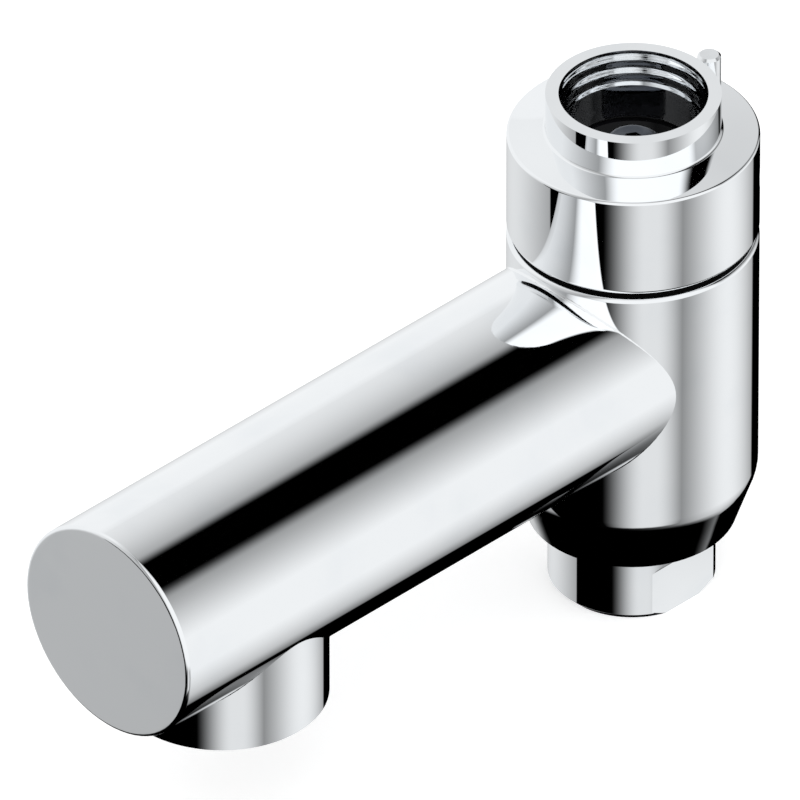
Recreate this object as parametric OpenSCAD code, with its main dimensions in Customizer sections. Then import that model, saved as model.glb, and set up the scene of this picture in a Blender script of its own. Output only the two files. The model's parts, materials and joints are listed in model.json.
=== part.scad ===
// Bath diverter spout: a swivelling spout that sends water to the bath when it points forward
// and to the shower hose when it is turned to either side.
// Origin: centre of the inlet neck's top rim. +Z is up, the spout points along -Y.

/* [Inlet neck and collar] */
// Outer diameter of the inlet neck
neck_d = 29.2; // [27.5:0.1:32]
// Wall of the inlet neck
neck_wall = 2.2; // [1.8:0.1:2.6]
// Height of the neck above the collar's shoulder
neck_h = 6.9; // [6:0.1:8.5]
// Fillet at the foot of the neck
neck_fillet = 0.5; // [0.3:0.1:0.8]
// Width of the collar's shoulder around the neck
shoulder_w = 6.4; // [6:0.1:8]
// Height of the collar from the foot of the neck to the seam
collar_h = 19.2; // [18.4:0.1:22]
// Fall of the collar's shoulder from the neck to its edge
shoulder_drop = 0.75; // [0.4:0.05:1.2]
// Round on the collar's and the body's top edges
edge_round = 0.5; // [0.3:0.1:0.8]
// Chamfer at the collar's lower edge
collar_chamfer = 0.4; // [0.2:0.1:0.6]
// Depth of the neck's bore down to its ledge
neck_bore_depth = 9.6; // [8.5:0.1:9.8]
// Depth of the bore's wide entry
bore_entry = 3.4; // [2.8:0.1:3.8]
// Width of the first step, which leads into the bore's middle
entry_step = 0.5; // [0.3:0.1:0.6]
// Width of the second step, which leads into the seal's seat
seat_step = 0.6; // [0.4:0.1:0.7]
// Width of the ledge at the bottom of the bore
inlet_ledge = 0.5; // [0.3:0.1:0.7]
// Height of the narrow port below the ledge
inlet_port_h = 2.5; // [2.2:0.1:2.7]

/* [Locating pin] */
// Diameter of the locating pin
pin_d = 4; // [3.5:0.1:4.2]
// How far the pin's top lies below the neck's rim
pin_below_rim = 0.9; // [0.4:0.1:2]
// Depth of the pin in the collar, below the neck's foot
pin_depth = 7.5; // [6:0.5:9]

/* [Body and spout] */
// Gap between collar and body, filled by the glide ring
seam_h = 1.3; // [1.2:0.1:2.4]
// Height of the swivelling body
body_h = 56.5; // [56:0.5:62]
// Diameter of the body's foot, at the bottom of its taper
foot_d = 35; // [33:0.5:36.5]
// Height of the taper
taper_h = 10.2; // [8:0.2:12]
// Round between the body's wall and its taper
taper_round = 8; // [5:0.5:12]
// Outer diameter of the spout tube
spout_d = 38; // [36:0.5:38.4]
// Depth of the spout's axis below the body's top face
spout_drop = 20; // [19.6:0.1:21]
// Distance from the swivel axis to the spout's end face
spout_reach = 122.5; // [108:0.5:150]
// Wall of the spout tube and of its closed end
spout_wall = 3.5; // [3.2:0.1:4]
// Round on the rim of the spout's end face
end_round = 0.7; // [0.4:0.1:1]
// Fillet where the spout leaves the body and where the outlet leaves the spout
junction_round = 0.6; // [0.4:0.1:1]
// Distance from the outlet's axis to the spout's end face
outlet_setback = 26.6; // [22:0.1:36]
// How far the outlet stub's wall lies inside the spout's side
outlet_inset = 1.3; // [1:0.1:2.4]
// Depth of the outlet's lower face below the spout's axis
outlet_drop = 24.7; // [24.2:0.1:29]

/* [Swivel joint] */
// Wall of the collar around the body's spigot
collar_wall = 3.95; // [3.6:0.05:4.4]
// Wall of the spigot around the flow divider
spigot_wall = 2.8; // [2.6:0.1:3.1]
// Wire of the retaining ring
ring_wire_d = 1.4; // [1.2:0.1:1.5]
// Depth of the retaining ring below the fixed disc
ring_drop = 5; // [4.6:0.1:5.4]
// Depth of the swivel seal below the fixed disc
swivel_seal_drop = 8.4; // [8.1:0.1:8.5]
// Thickness of the rubber of the swivel seal
swivel_seal_d = 1.5; // [1.3:0.1:1.6]
// Swivel to either side
swivel_deg = 90; // [60:5:90]
// Direction of the stop screw, counted from +X
stop_screw_angle = 45; // [40:1:50]
// Diameter of the stop screw's thread
stop_screw_d = 4; // [3.5:0.5:4.5]
// Diameter of the stop screw's dog point
dog_d = 2.5; // [2:0.1:2.8]

/* [Ceramic discs] */
// Thickness of each disc
disc_t = 2.4; // [2.2:0.1:2.6]
// Width of a port
port_w = 6; // [4.5:0.1:6.6]
// Rim of the rotating disc outside its ports
port_rim = 3.1; // [2.8:0.1:3.5]
// Least land between two neighbouring ports
port_land = 2; // [1.6:0.1:2.6]
// Thickness of the gasket above the fixed disc
gasket_t = 0.5; // [0.4:0.05:0.8]
// Thickness of the seal plate below the rotating disc
port_seal_t = 0.6; // [0.5:0.05:0.8]
// Diameter of the screw that holds the two discs together
centre_screw_d = 5; // [4:0.5:5]
// Diameter of the centre screw's head
centre_head_d = 9.6; // [8.4:0.2:9.8]
// Height of the centre screw's head
centre_head_h = 3.6; // [2.6:0.1:3.8]

/* [Flow divider] */
// Depth of the body's inner chamber below the body's top face
chamber_drop = 2.6; // [2.2:0.1:3.4]
// Wall of the body around its inner chamber
body_wall = 3.7; // [3.3:0.1:4.4]
// Thickness of the web below the chamber
web_t = 6; // [5.4:0.2:7]
// Diameter of the divider's lower spigot
divider_spigot_d = 21; // [20:0.2:21.6]
// Bore of the divider's lower spigot
divider_outlet_d = 15; // [13:0.5:15.6]
// How far the divider's waist and lower disc are set in from the spigot's bore
waist_inset = 0.7; // [0.4:0.1:1]
// Width of the divider's waist, front to back
divider_waist_w = 13.6; // [13.2:0.2:15]
// Thickness of the rubber of the divider's two seals
divider_seal_d = 1.3; // [1.1:0.1:1.4]

/* [Hose connector] */
// Outer diameter of the connector
connector_d = 28; // [27:0.2:30]
// Height of the connector below the body
connector_h = 13.5; // [12:0.1:15]
// Distance across the connector's two wrench flats
flats_w = 24; // [23:0.5:25]
// Height of the wrench flats
flats_h = 9.4; // [6:0.2:10]
// Width of the chamfer round the connector's foot
connector_chamfer_w = 1.4; // [0.8:0.1:1.8]
// Height of the chamfer round the connector's foot
connector_chamfer_h = 1.7; // [1:0.1:2.4]
// Diameter of the connector's thread in the body
connector_thread_d = 24; // [23.4:0.1:24.4]
// Bore of the G 1/2 hose socket
socket_d = 18.64; // [18.4:0.02:18.8]
// Depth of the hose socket
socket_depth = 10; // [9:0.1:10.4]
// Bore that carries water down to the hose socket
passage_d = 15; // [13:0.2:15.6]

/* [Check valve] */
// Outer diameter of the check valve's housing
valve_d = 18.8; // [18.4:0.1:19.2]
// Bore of the valve seat
seat_d = 10.4; // [9.6:0.1:11]
// Diameter of the poppet's plate
poppet_d = 13.2; // [12.6:0.1:14]
// How far the poppet opens
poppet_lift = 2.5; // [1.8:0.1:2.6]
// Wire of the valve's spring
spring_wire_d = 0.4; // [0.3:0.05:0.45]
// Middle diameter of the valve's spring
spring_d = 5.4; // [5:0.1:6]
// Turns of the valve's spring
spring_turns = 4; // [3:0.5:4.5]

/* [Aerator] */
// Wall of the outlet stub around the aerator's thread
outlet_wall = 3.7; // [3.4:0.1:4.2]
// Wall between the waterway's floor and the aerator's seat
aerator_seat_wall = 1.8; // [1.4:0.1:2.2]
// Width of the aerator's seat
aerator_seat_w = 2.5; // [2.2:0.1:3]
// Depth of the aerator's rim inside the outlet
aerator_recess = 0.8; // [0.5:0.1:1.2]
// Wire of the aerator's mesh
mesh_wire = 0.35; // [0.25:0.05:0.45]
// Spacing of the mesh's wires
mesh_pitch = 1.5; // [1.3:0.1:2]

/* [Clearances] */
// Radial gap between the collar and what swivels in it
running_gap = 0.05; // [0.03:0.01:0.08]
// Radial gap around the rotating disc
disc_gap = 0.1; // [0.05:0.01:0.15]
// Radial gap around the fixed disc, which its two keys hold
fixed_disc_gap = 1.05; // [0.9:0.05:1.2]
// Gap between parts that are pushed or screwed together
fit_gap = 0.03; // [0.02:0.01:0.06]
// Gap between a seal and the walls of its groove
seal_gap = 0.05; // [0.03:0.01:0.1]

/* [Hidden] */
$fn = 64;

// Overrun of a cutting tool past the face that it cuts
over = 1;

// Radii, each from its neighbour by a wall or a gap
neck_r = neck_d / 2;
neck_bore_r = neck_r - neck_wall;
seal_bore_r = neck_bore_r - entry_step - seat_step;
inlet_port_r = seal_bore_r - inlet_ledge;
body_r = neck_r + shoulder_w;
collar_bore_r = body_r - collar_wall;
spigot_r = collar_bore_r - running_gap;
core_r = spigot_r - spigot_wall;
plug_r = core_r - seal_gap;
chamber_r = body_r - body_wall;
waist_r = core_r - waist_inset;
spout_r = spout_d / 2;
waterway_r = spout_r - spout_wall;
outlet_r = spout_r - outlet_inset;
outlet_thread_r = outlet_r - outlet_wall;
outlet_bore_r = outlet_thread_r - aerator_seat_w;
foot_r = foot_d / 2;

// The discs, the ring of ports between rim and boss, and the pin in the middle of the shoulder
fixed_disc_r = collar_bore_r - fixed_disc_gap;
rotating_disc_r = core_r - disc_gap;
port_r = rotating_disc_r - port_rim - port_w / 2;
port_half_angle = 45 - asin((port_w + port_land) / 2 / port_r);
boss_r = port_r - port_w / 2;
nut_pocket_r = boss_r - 0.9;
centre_nut_r = nut_pocket_r - 0.1;
centre_screw_r = min(centre_screw_d / 2, boss_r - 1.6);
centre_gap = 0.15;
pin_reach = neck_r + shoulder_w / 2;
pin_shoulder = 0.2;
pin_shank_r = pin_d / 2 - pin_shoulder;

// The outlet's axis keeps its distance from the spout's end
outlet_reach = spout_reach - outlet_setback;

// Levels, from the neck's rim at zero downwards
z_seam = -(neck_h + collar_h);
z_body = z_seam - seam_h;
z_foot = z_body - body_h;
z_end = z_foot - connector_h;
z_spout = z_body - spout_drop;
z_outlet = z_spout - outlet_drop;
z_bore_floor = -neck_bore_depth;
z_ledge = z_bore_floor - inlet_port_h;
z_fixed_top = z_ledge - gasket_t;
z_fixed_bottom = z_fixed_top - disc_t;
z_spigot_top = z_fixed_bottom - 2 * running_gap;
z_rotating_top = z_fixed_bottom - running_gap;
z_rotating_bottom = z_rotating_top - disc_t;
z_divider_top = z_rotating_bottom - port_seal_t;
z_nut_top = z_rotating_bottom - 2 * running_gap;
z_nut_bottom = z_nut_top - 2.8;
z_screw_tip = z_nut_bottom - 0.8;
z_nut_pocket = z_screw_tip - 0.6;
z_stop = z_fixed_bottom - dog_d / 2 - 3 * running_gap;
z_ring = z_fixed_bottom - ring_drop;
z_swivel_seal = z_fixed_bottom - swivel_seal_drop;
z_chamber_top = z_body - chamber_drop;
z_web_top = z_spout - waterway_r - 2 * seal_gap;
z_web_bottom = z_web_top - web_t;
z_socket_top = z_end + socket_depth;
z_aerator_seat = z_spout - waterway_r - aerator_seat_wall;

// Keys: two in the collar hold the fixed disc, two slots in the spigot drive the rotating disc
disc_key_w = 4;
disc_key_in = 2;
drive_key_w = 2.8;
drive_key_out = 1.1;
drive_key_angles = [180, 270];

// Hose connector and check valve, from the web downwards: the valve's chamber holds the poppet,
// its lift and the spring when it is pressed solid
connector_seal_d = 1.3;
connector_top_gap = 0.5;
connector_r = connector_thread_d / 2 - fit_gap;
valve_bore_r = valve_d / 2 + seal_gap;
valve_top_gap = 0.2;
valve_seal_d = 1.1;
valve_seat_t = 3.4;
poppet_seal_t = 0.75;
poppet_plate_t = 0.8;
poppet_nose_h = 0.9;
spring_spare = 0.2;
spider_t = 1.5;
stem_r = 1;
chamber_wall = 1.2;
z_connector_top = z_web_bottom - connector_top_gap;
z_valve_top = z_connector_top - valve_top_gap;
z_valve_seat = z_valve_top - valve_seat_t;
z_poppet_seal = z_valve_seat - seal_gap;
z_poppet_plate = z_poppet_seal - poppet_seal_t;
z_poppet_under = z_poppet_plate - poppet_plate_t;
spring_solid_h = (spring_turns + 1) * spring_wire_d;
z_spider = z_poppet_under - poppet_lift - spring_solid_h - spring_spare;
z_valve_bottom = z_spider - spider_t;
z_passage_top = z_valve_bottom - fit_gap;
z_valve_seal = z_valve_top - valve_seat_t / 2;
z_connector_seal = z_foot + connector_seal_d / 2 + 0.75;

// Flow divider, from the web upwards: the side ports end in its plenum
plenum_h = 2.4;
plenum_wall = 2.2;
plenum_base = 1.4;
lower_disc_h = 5.4;
divider_foot = 0.5;
z_divider_foot = z_web_bottom + divider_foot;
z_lower_disc = z_web_top + lower_disc_h;
z_plenum_floor = z_web_top + plenum_base;
z_upper_seal = (z_divider_top + z_chamber_top) / 2;
z_lower_seal = (z_divider_foot + z_web_top) / 2;

// Aerator levels
aerator_gasket_t = 1.2;
aerator_lip_h = 0.8;
aerator_shell = 1.5;
mesh_t = 0.5;
z_aerator_top = z_aerator_seat - aerator_gasket_t;
z_aerator_bottom = z_outlet + aerator_recess;
z_mesh = z_aerator_bottom + aerator_lip_h;
insert_rise = 3.4;
regulator_t = 2.4;
z_insert_top = z_aerator_top + insert_rise;
aerator_r = outlet_thread_r - fit_gap;
insert_r = aerator_r - aerator_shell - fit_gap;
barrel_r = outlet_bore_r - 0.3;

// Fillets where pipes meet: rings of points around the corner, and points across each ring
fillet_rings = 90;
fillet_arc = 5;
fillet_sink = 0.02;
fillet_core = 0.8;

// Grooves of the retaining ring
ring_groove_h = ring_wire_d + 2 * running_gap;
ring_depth = ring_wire_d / 2 + 2 * running_gap;

function arc(r_mid, z_mid, r, from, to, steps = 8) =
    [for (i = [0:steps]) let (a = from + (to - from) * i / steps) [r_mid + r * cos(a), z_mid + r * sin(a)]];

// Building blocks

// A ring between two radii, from one level up to another; a groove is cut as such a ring
module ring(r_in, r_out, z_low, z_high) {
    rotate_extrude() translate([r_in, z_low]) square([r_out - r_in, z_high - z_low]);
}

// A plain round rod or bore between two levels
module rod(r, z_low, z_high) {
    translate([0, 0, z_low]) cylinder(r = r, h = z_high - z_low);
}

// A rubber ring of round section
module seal(r_mid, z, d) {
    translate([0, 0, z]) rotate_extrude() translate([r_mid, 0]) circle(d = d);
}

// A kidney-shaped port with round ends, at an angle on the port circle
module port(angle, z_low, z_high, widen = 0) {
    w = port_w + 2 * widen;
    rotate([0, 0, angle - port_half_angle]) translate([0, 0, z_low])
        rotate_extrude(angle = 2 * port_half_angle)
            translate([port_r - w / 2, 0]) square([w, z_high - z_low]);
    for (a = [-port_half_angle, port_half_angle])
        rotate([0, 0, angle + a]) translate([port_r, 0, 0]) rod(w / 2, z_low, z_high);
}

// The three ports that turn with the spout: front, right and left
module turning_ports(z_low, z_high, widen = 0) {
    for (a = [-90, 0, 180]) port(a, z_low, z_high, widen);
}

// A key or its slot, reaching out from the middle at an angle
module key(angle, w, r_out, z_low, z_high) {
    rotate([0, 0, angle]) translate([0, -w / 2, z_low]) cube([r_out, w, z_high - z_low]);
}

// Fixed inlet parts

// The bore narrows in two conical steps, which lead the seal of the mixer's nozzle into its seat
module collar_shell() {
    middle_r = neck_bore_r - entry_step;
    z_middle = -bore_entry - 2 * entry_step;
    z_seat_step = z_middle - 1.35;
    rotate_extrude() polygon(concat(
        [[seal_bore_r, z_bore_floor], [seal_bore_r, z_seat_step - 2.4 * seat_step]],
        [[middle_r, z_seat_step], [middle_r, z_middle]],
        [[neck_bore_r, -bore_entry], [neck_bore_r, 0], [neck_r, 0]],
        arc(neck_r + neck_fillet, neck_fillet - neck_h, neck_fillet, 180, 270),
        arc(body_r - edge_round, -neck_h - shoulder_drop - edge_round, edge_round, 90, 0),
        [[body_r, z_seam + collar_chamfer], [body_r - collar_chamfer, z_seam]],
        [[collar_bore_r + collar_chamfer, z_seam], [collar_bore_r, z_seam + collar_chamfer]],
        [[collar_bore_r, z_ledge], [inlet_port_r, z_ledge], [inlet_port_r, z_bore_floor]]
    ));
}

// The fillet between a pipe along Z and a smaller one that leaves it along -Y: a ball rolls round
// the corner, and the bead that it leaves is swept as rings of points, sunk a little into both
function crossing(r_small, r_big, t) =
    [r_small * cos(t), -sqrt(r_big * r_big - pow(r_small * cos(t), 2)), r_small * sin(t)];
function fillet_ring(r_small, r_big, round, t) =
    let (c = crossing(r_small + round - fillet_sink, r_big + round - fillet_sink, t),
        to_small = [-cos(t), 0, -sin(t)],
        to_big = [-c.x, -c.y, 0] / norm([c.x, c.y]),
        a = acos(to_small * to_big))
    concat(
        [crossing(r_small - fillet_core, r_big - fillet_core, t)],
        [for (i = [0:fillet_arc])
            let (u = i / fillet_arc)
            c + round * (sin((1 - u) * a) * to_small + sin(u * a) * to_big) / sin(a)]
    );

module junction_fillet(r_small, r_big, round) {
    n = fillet_arc + 2;
    polyhedron(
        points = [for (k = [0:fillet_rings - 1])
            each fillet_ring(r_small, r_big, round, 360 * k / fillet_rings)],
        faces = [for (k = [0:fillet_rings - 1]) for (i = [0:n - 1])
            let (a = k * n, b = (k + 1) % fillet_rings * n, j = (i + 1) % n)
            each [[a + i, b + j, a + j], [a + i, b + i, b + j]]]
    );
}

module ring_groove(z, r_in, r_out, h) {
    ring(r_in, r_out, z - h / 2, z + h / 2);
}

module inlet_collar() color("gainsboro") {
    difference() {
        union() {
            collar_shell();
            intersection() {
                ring(collar_bore_r - disc_key_in, collar_bore_r + collar_chamfer, z_fixed_bottom, z_ledge);
                for (a = [0, 180]) key(a, disc_key_w, body_r, z_fixed_bottom, z_ledge);
            }
        }
        ring_groove(z_ring, collar_bore_r - over, spigot_r + ring_depth, ring_groove_h);
        translate([0, pin_reach, 0]) rod(pin_shank_r + fit_gap, -neck_h - pin_depth, 0);
        rotate([0, 0, stop_screw_angle]) translate([0, 0, z_stop]) rotate([0, 90, 0])
            rod(stop_screw_d / 2, collar_bore_r - over, body_r + over);
    }
}

module locating_pin() color("silver") translate([0, pin_reach, 0]) {
    head_low = -neck_h - running_gap;
    head_top = -pin_below_rim;
    chamfer = 0.4;
    shank_low = -neck_h - pin_depth + pin_shoulder;
    rotate_extrude() polygon([
        [0, shank_low], [pin_shank_r, shank_low],
        [pin_shank_r, head_low], [pin_d / 2, head_low],
        [pin_d / 2, head_top - chamfer], [pin_d / 2 - chamfer, head_top], [0, head_top]
    ]);
}

module inlet_gasket() color("dimgray") {
    inset = 0.4;
    ring(inlet_port_r + inset, collar_bore_r - disc_key_in - inset / 2, z_fixed_top, z_ledge);
}

module fixed_disc() color("slategray") {
    difference() {
        rod(fixed_disc_r, z_fixed_bottom, z_fixed_top);
        rod(centre_screw_r + centre_gap, z_fixed_bottom - over, z_fixed_top + over);
        port(-90, z_fixed_bottom - over, z_fixed_top + over);
        intersection() {
            ring(collar_bore_r - disc_key_in - 2 * seal_gap, body_r,
                z_fixed_bottom - over, z_fixed_top + over);
            for (a = [0, 180])
                key(a, disc_key_w + 2 * seal_gap, body_r, z_fixed_bottom - over, z_fixed_top + over);
        }
    }
}

// The screw and its nut hold the two discs together and stand still with the inlet
module centre_screw() color("silver") {
    head_r = centre_head_d / 2;
    head_round = 1.4;
    head_top = z_fixed_top + centre_head_h;
    tip_chamfer = 0.5;
    socket_af = 3;
    socket_h = 2;
    difference() {
        rotate_extrude() polygon(concat(
            [[0, z_screw_tip], [centre_screw_r - tip_chamfer, z_screw_tip]],
            [[centre_screw_r, z_screw_tip + tip_chamfer], [centre_screw_r, z_fixed_top]],
            [[head_r, z_fixed_top]],
            arc(head_r - head_round, head_top - head_round, head_round, 0, 90),
            [[0, head_top]]
        ));
        translate([0, 0, head_top - socket_h])
            cylinder(r = socket_af / sqrt(3), h = socket_h + over, $fn = 6);
    }
}

module centre_nut() color("silver") {
    difference() {
        translate([0, 0, z_nut_bottom]) cylinder(r = centre_nut_r, h = z_nut_top - z_nut_bottom, $fn = 6);
        rod(centre_screw_r + fit_gap, z_nut_bottom - over, z_nut_top + over);
    }
}

module retaining_ring() color("lightsteelblue") {
    ring_opening = 24;
    rotate([0, 0, 90 + ring_opening / 2]) translate([0, 0, z_ring])
        rotate_extrude(angle = 360 - ring_opening) translate([spigot_r, 0]) circle(d = ring_wire_d);
}

module stop_screw() color("darkgray") {
    head_out = body_r - 0.4;
    dog_in = core_r + spigot_wall / 2;
    dog_out = collar_bore_r + 0.2;
    socket_af = 2;
    socket_depth_in = 1.6;
    rotate([0, 0, stop_screw_angle]) translate([0, 0, z_stop]) rotate([0, 90, 0])
        difference() {
            union() {
                rod(stop_screw_d / 2 - fit_gap, dog_out, head_out);
                rod(dog_d / 2, dog_in, dog_out);
            }
            translate([0, 0, head_out - socket_depth_in])
                cylinder(r = socket_af / sqrt(3), h = socket_depth_in + over, $fn = 6);
        }
}

// Swivelling body

module body_outline() {
    taper_angle = atan((body_r - foot_r) / taper_h);
    z_bend = z_foot + taper_h + taper_round * tan(taper_angle / 2);
    foot_round = 0.3;
    rotate_extrude() polygon(concat(
        [[0, z_body]],
        arc(body_r - edge_round, z_body - edge_round, edge_round, 90, 0),
        arc(body_r - taper_round, z_bend, taper_round, 0, -taper_angle),
        [[foot_r + foot_round * tan(taper_angle), z_foot + foot_round], [foot_r - foot_round, z_foot]],
        [[0, z_foot]]
    ));
}

module spout_tube() {
    translate([0, 0, z_spout]) rotate([90, 0, 0]) rotate_extrude() polygon(concat(
        [[0, 0], [spout_r, 0]],
        arc(spout_r - end_round, spout_reach - end_round, end_round, 0, 90),
        [[0, spout_reach]]
    ));
}

// The seal groove, ring groove and stop slot around the spigot
module spigot_cuts() {
    slot_margin = asin(dog_d / 2 / (core_r + spigot_wall / 2)) + 0.4;
    ring_groove(z_ring, spigot_r - ring_depth, spigot_r + over, ring_groove_h);
    ring_groove(z_swivel_seal, spigot_r - swivel_seal_d, spigot_r + over, swivel_seal_d + 0.6);
    rotate([0, 0, stop_screw_angle - swivel_deg - slot_margin])
        translate([0, 0, z_stop - dog_d / 2 - 2 * running_gap])
            rotate_extrude(angle = 2 * (swivel_deg + slot_margin))
                translate([core_r - over, 0]) square([spigot_r - core_r + 2 * over, dog_d + 2]);
}

module spout_body() color("gainsboro") {
    difference() {
        union() {
            body_outline();
            rod(spigot_r, z_body - over, z_spigot_top);
            spout_tube();
            translate([0, 0, z_spout]) junction_fillet(spout_r, body_r, junction_round);
            translate([0, -outlet_reach, 0]) rod(outlet_r, z_outlet, z_spout);
            translate([0, -outlet_reach, z_spout]) rotate([90, 0, 0])
                junction_fillet(outlet_r, spout_r, junction_round);
        }
        spigot_cuts();
        rod(core_r, z_chamber_top - over, z_spigot_top + over);
        rod(chamber_r, z_web_top, z_chamber_top);
        rod(divider_spigot_d / 2 + seal_gap, z_web_bottom - over, z_web_top + over);
        rod(connector_thread_d / 2, z_foot - over, z_web_bottom);
        for (a = drive_key_angles)
            key(a, drive_key_w + 2 * seal_gap, core_r + drive_key_out + seal_gap,
                z_divider_top - 3, z_spigot_top + over);
        translate([0, 0, z_spout]) rotate([90, 0, 0]) rod(waterway_r, body_r / 2, spout_reach - spout_wall);
        translate([0, -outlet_reach, 0]) rod(outlet_bore_r, z_aerator_seat - over, z_spout);
        translate([0, -outlet_reach, 0]) rod(outlet_thread_r, z_outlet - over, z_aerator_seat);
    }
}

module glide_ring() color("#202020") {
    ring(spigot_r + fit_gap, body_r - 2 * edge_round, z_body, z_seam - running_gap);
}

module swivel_seal() color("#303030") {
    seal(spigot_r - swivel_seal_d / 2 + seal_gap / 2, z_swivel_seal, swivel_seal_d - seal_gap);
}

module rotating_disc() color("slategray") {
    difference() {
        union() {
            rod(rotating_disc_r, z_rotating_bottom, z_rotating_top);
            for (a = drive_key_angles)
                key(a, drive_key_w, core_r + drive_key_out, z_rotating_bottom, z_rotating_top);
        }
        rod(centre_screw_r + centre_gap, z_rotating_bottom - over, z_rotating_top + over);
        turning_ports(z_rotating_bottom - over, z_rotating_top + over);
    }
}

module port_seal() color("#303030") {
    difference() {
        rod(plug_r - 0.4, z_divider_top, z_rotating_bottom);
        rod(nut_pocket_r, z_divider_top - over, z_rotating_bottom + over);
        turning_ports(z_divider_top - over, z_rotating_bottom + over);
    }
}

// Flow divider: the front port opens into the chamber, the side ports run down inside it and the
// centre nut turns freely in its pocket

module seal_groove(r_out, z) {
    ring_groove(z, r_out - divider_seal_d, r_out + over, divider_seal_d + 0.5);
}

module flow_divider() color("whitesmoke") {
    difference() {
        union() {
            rod(plug_r, z_chamber_top, z_divider_top);
            for (a = drive_key_angles)
                key(a, drive_key_w, core_r + drive_key_out, z_divider_top - 2.8, z_divider_top);
            intersection() {
                rod(waist_r, z_web_top, z_chamber_top + over);
                translate([-2 * waist_r, -divider_waist_w / 2, z_web_top])
                    cube([4 * waist_r, divider_waist_w, z_chamber_top + over - z_web_top]);
            }
            rod(waist_r, z_web_top, z_lower_disc);
            rod(divider_spigot_d / 2, z_divider_foot, z_web_top + over);
        }
        rod(nut_pocket_r, z_nut_pocket, z_divider_top + over);
        port(-90, z_lower_disc, z_divider_top + over);
        for (a = [0, 180]) port(a, z_plenum_floor + plenum_h / 2, z_divider_top + over);
        rod(waist_r - plenum_wall, z_plenum_floor, z_plenum_floor + plenum_h);
        rod(divider_outlet_d / 2, z_divider_foot - over, z_plenum_floor + plenum_h / 3);
        seal_groove(plug_r, z_upper_seal);
        seal_groove(divider_spigot_d / 2, z_lower_seal);
    }
}

module divider_seal_upper() color("#303030") {
    seal(plug_r - divider_seal_d / 2 + seal_gap / 2, z_upper_seal, divider_seal_d - seal_gap);
}

module divider_seal_lower() color("#303030") {
    seal((divider_spigot_d - divider_seal_d + seal_gap) / 2, z_lower_seal, divider_seal_d - seal_gap);
}

// Hose connector with its check valve

module hose_connector() color("silver") {
    difference() {
        rotate_extrude() polygon([
            [passage_d / 2, z_socket_top], [socket_d / 2, z_socket_top],
            [socket_d / 2, z_end], [connector_d / 2 - connector_chamfer_w, z_end],
            [connector_d / 2, z_end + connector_chamfer_h], [connector_d / 2, z_foot],
            [connector_r, z_foot], [connector_r, z_connector_top],
            [valve_bore_r, z_connector_top], [valve_bore_r, z_passage_top],
            [passage_d / 2, z_passage_top]
        ]);
        ring_groove(z_connector_seal, connector_r - connector_seal_d, connector_r + over,
            connector_seal_d + 0.5);
        for (side = [0, 180])
            rotate([0, 0, side]) translate([flats_w / 2, -connector_d / 2, z_end - over])
                cube([connector_d, connector_d, flats_h + over]);
    }
}

module connector_seal() color("#303030") {
    seal(connector_r - connector_seal_d / 2 + seal_gap / 2, z_connector_seal, connector_seal_d - seal_gap);
}

module check_valve_housing() color("ivory") {
    arms = 3;
    arm_w = 1.6;
    hub_r = stem_r + 1.2;
    difference() {
        rod(valve_d / 2, z_valve_bottom, z_valve_top);
        rod(seat_d / 2, z_valve_seat - over, z_valve_top + over);
        rod(valve_d / 2 - chamber_wall, z_spider, z_valve_seat);
        difference() {
            rod(valve_d / 2 - chamber_wall, z_valve_bottom - over, z_spider + over);
            rod(hub_r, z_valve_bottom - 2 * over, z_spider);
            for (i = [0:arms - 1])
                key(i * 360 / arms, arm_w, valve_d / 2, z_valve_bottom - 2 * over, z_spider);
        }
        rod(stem_r + running_gap, z_valve_bottom - over, z_spider + over);
        ring_groove(z_valve_seal, valve_d / 2 - valve_seal_d, valve_d / 2 + over, valve_seal_d + 0.4);
    }
}

module check_valve_seal() color("#303030") {
    seal((valve_d - valve_seal_d + seal_gap) / 2, z_valve_seal, valve_seal_d - seal_gap);
}

module check_poppet() color("ivory") {
    nose_r = seat_d / 2 - 0.8;
    stem_below = 0.5;
    rotate_extrude() polygon([
        [0, z_valve_bottom - stem_below], [stem_r, z_valve_bottom - stem_below],
        [stem_r, z_poppet_under], [poppet_d / 2, z_poppet_under],
        [poppet_d / 2, z_poppet_plate], [nose_r, z_poppet_plate],
        [nose_r, z_poppet_seal + 0.3], [nose_r - 1.4, z_poppet_seal + poppet_nose_h],
        [0, z_poppet_seal + poppet_nose_h]
    ]);
}

module poppet_seal() color("#303030") {
    ring(seat_d / 2 - 0.8 + fit_gap, poppet_d / 2 - 0.2, z_poppet_plate, z_poppet_seal);
}

// The spring's turns follow one helix, swept as rings of points along it
spring_sides = 8;
spring_steps = 16;
spring_low = z_spider + spring_wire_d / 2 + fit_gap;
spring_high = z_poppet_under - spring_wire_d / 2 - fit_gap;
spring_rings = floor(spring_turns * spring_steps);
function spring_point(i, side) =
    let (a = 360 * i / spring_steps, t = i / spring_rings, c = 360 * side / spring_sides,
        r = spring_d / 2 + spring_wire_d / 2 * cos(c))
    [r * cos(a), r * sin(a), spring_low + (spring_high - spring_low) * t + spring_wire_d / 2 * sin(c)];

module check_valve_spring() color("lightsteelblue") {
    last = spring_rings * spring_sides;
    polyhedron(
        points = [for (i = [0:spring_rings]) for (s = [0:spring_sides - 1]) spring_point(i, s)],
        faces = concat(
            [[for (s = [0:spring_sides - 1]) s]],
            [for (i = [0:spring_rings - 1]) for (s = [0:spring_sides - 1])
                let (n = (s + 1) % spring_sides, b = i * spring_sides, t = b + spring_sides)
                each [[b + s, t + s, t + n], [b + s, t + n, b + n]]],
            [[for (s = [spring_sides - 1:-1:0]) last + s]]
        )
    );
}

// Aerator in the outlet

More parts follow.
